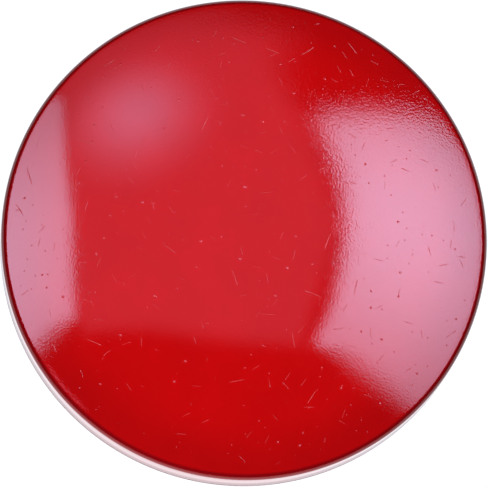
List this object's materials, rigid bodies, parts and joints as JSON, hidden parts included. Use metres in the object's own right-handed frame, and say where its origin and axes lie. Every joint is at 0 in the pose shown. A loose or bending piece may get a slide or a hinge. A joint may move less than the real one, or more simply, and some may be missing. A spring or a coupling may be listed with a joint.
{
  "type": "blind flange",
  "caption": "Dished blind flange: a pressed round red cover welded over a flange ring, with a gasket and studs, washers and nuts at its back, closes the end of a pipe.",
  "frame": {"origin": "centre of the gasket's sealing face", "axes": "+Z out through the crown of the cover, along the pipe's axis; the studs lie halfway between X and Y and point to -Z"},
  "size_m": [0.195, 0.195, 0.0869],
  "materials": {
    "red_coat": "high gloss red coat with fine orange peel",
    "ring_steel": "turned steel, fine concentric lay on the raised face",
    "weld_bead": "rippled weld metal, heat tinted",
    "gasket_rubber": "matte black sheet rubber",
    "zinc_steel": "bright zinc plate",
    "spring_steel": "darker plated spring steel"
  },
  "bodies": {
    "cover": {"dished_cover": "red_coat", "flange_ring": "ring_steel", "rim_weld": "weld_bead", "face_gasket": "gasket_rubber", "stud_1": "zinc_steel", "stud_2": "zinc_steel", "stud_3": "zinc_steel", "stud_4": "zinc_steel"},
    "washers_1": {"plain_washer_1": "zinc_steel", "spring_washer_1": "spring_steel"},
    "nut_1": {"hex_nut_1": "zinc_steel"},
    "washers_2": {"plain_washer_2": "zinc_steel", "spring_washer_2": "spring_steel"},
    "nut_2": {"hex_nut_2": "zinc_steel"},
    "washers_3": {"plain_washer_3": "zinc_steel", "spring_washer_3": "spring_steel"},
    "nut_3": {"hex_nut_3": "zinc_steel"},
    "washers_4": {"plain_washer_4": "zinc_steel", "spring_washer_4": "spring_steel"},
    "nut_4": {"hex_nut_4": "zinc_steel"}
  },
  "joints": [
    {"name": "washers_1_travel", "type": "slide", "parent": "cover", "child": "washers_1", "axis": [0, 0, -1], "range_m": [-0.0091, 0.0101]},
    {"name": "nut_1_turn", "type": "hinge", "parent": "washers_1", "child": "nut_1", "pos_m": [0.05303, 0.05303, -0.0306], "axis": [0, 0, -1], "range_deg": [-1620, 1800]},
    {"name": "washers_2_travel", "type": "slide", "parent": "cover", "child": "washers_2", "axis": [0, 0, -1], "range_m": [-0.0091, 0.0101]},
    {"name": "nut_2_turn", "type": "hinge", "parent": "washers_2", "child": "nut_2", "pos_m": [-0.05303, 0.05303, -0.0306], "axis": [0, 0, -1], "range_deg": [-1620, 1800]},
    {"name": "washers_3_travel", "type": "slide", "parent": "cover", "child": "washers_3", "axis": [0, 0, -1], "range_m": [-0.0091, 0.0101]},
    {"name": "nut_3_turn", "type": "hinge", "parent": "washers_3", "child": "nut_3", "pos_m": [-0.05303, -0.05303, -0.0306], "axis": [0, 0, -1], "range_deg": [-1620, 1800]},
    {"name": "washers_4_travel", "type": "slide", "parent": "cover", "child": "washers_4", "axis": [0, 0, -1], "range_m": [-0.0091, 0.0101]},
    {"name": "nut_4_turn", "type": "hinge", "parent": "washers_4", "child": "nut_4", "pos_m": [0.05303, -0.05303, -0.0306], "axis": [0, 0, -1], "range_deg": [-1620, 1800]}
  ],
  "couplings": [
    {"joint": "washers_1_travel", "follows": "nut_1_turn", "m_per_rad": 0.00031831},
    {"joint": "washers_2_travel", "follows": "nut_2_turn", "m_per_rad": 0.00031831},
    {"joint": "washers_3_travel", "follows": "nut_3_turn", "m_per_rad": 0.00031831},
    {"joint": "washers_4_travel", "follows": "nut_4_turn", "m_per_rad": 0.00031831}
  ]
}
